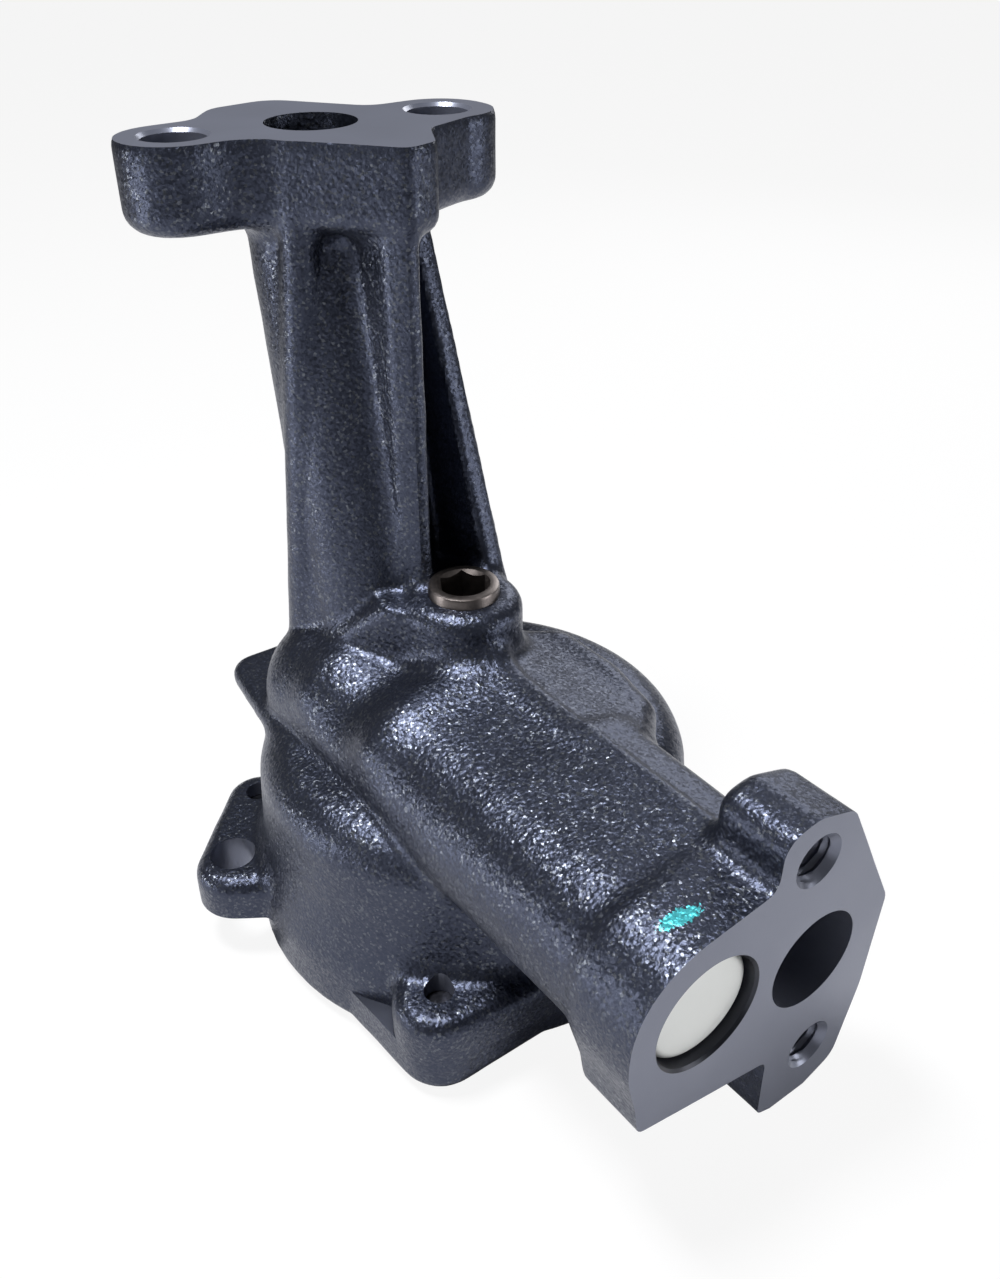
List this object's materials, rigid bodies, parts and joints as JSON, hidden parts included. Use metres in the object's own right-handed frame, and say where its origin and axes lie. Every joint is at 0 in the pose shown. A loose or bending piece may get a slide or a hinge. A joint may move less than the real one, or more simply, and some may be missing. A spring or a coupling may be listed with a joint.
{
  "type": "engine oil pump",
  "caption": "Gerotor engine oil pump: cast iron housing with a tall outlet column, mounting flange, inlet arm with pickup flange, hex drive shaft, rotors and relief valve.",
  "frame": {"origin": "centre of the outlet port on the mounting flange's machined face", "axes": "+Z out of the mounting face along the outlet port; +X along the inlet arm, out of the pickup flange's face"},
  "size_m": [0.1311, 0.0949, 0.1447],
  "materials": {
    "cast_housing": "sand-cast grey iron, machined on the flange faces and in the bores",
    "cast_cover": "sand-cast grey iron, ground on its joint face",
    "screw_steel": "black-oxide steel",
    "shaft_steel": "ground carbon steel, lightly oiled",
    "sintered_rotor": "sintered and ground steel",
    "hardened_piston": "hardened and ground steel",
    "spring_steel": "oil-tempered spring wire",
    "zinc_plated_plug": "pressed steel cup, dull zinc plate"
  },
  "bodies": {
    "housing": {"pump_housing": "cast_housing", "cover_plate": "cast_cover", "cover_screws": "screw_steel", "relief_plug": "zinc_plated_plug", "relief_spring": "spring_steel"},
    "drive": {"drive_shaft": "shaft_steel", "inner_rotor": "sintered_rotor"},
    "ring": {"outer_rotor": "sintered_rotor"},
    "piston": {"relief_piston": "hardened_piston"}
  },
  "joints": [
    {"name": "drive_spin", "type": "hinge", "parent": "housing", "child": "drive", "pos_m": [0.0313, 0.0056, -0.1], "axis": [0, 0, 1], "continuous": true},
    {"name": "outer_rotor_spin", "type": "hinge", "parent": "housing", "child": "ring", "pos_m": [0.0313, 0.0092, -0.124], "axis": [0, 0, 1], "continuous": true},
    {"name": "relief_slide", "type": "slide", "parent": "housing", "child": "piston", "axis": [1, 0, 0], "range_m": [0, 0.014], "stiffness_N_per_m": 2500, "springref_m": -0.02, "deforming": ["relief_spring"]}
  ],
  "couplings": [
    {"joint": "outer_rotor_spin", "follows": "drive_spin", "ratio": 0.8}
  ]
}
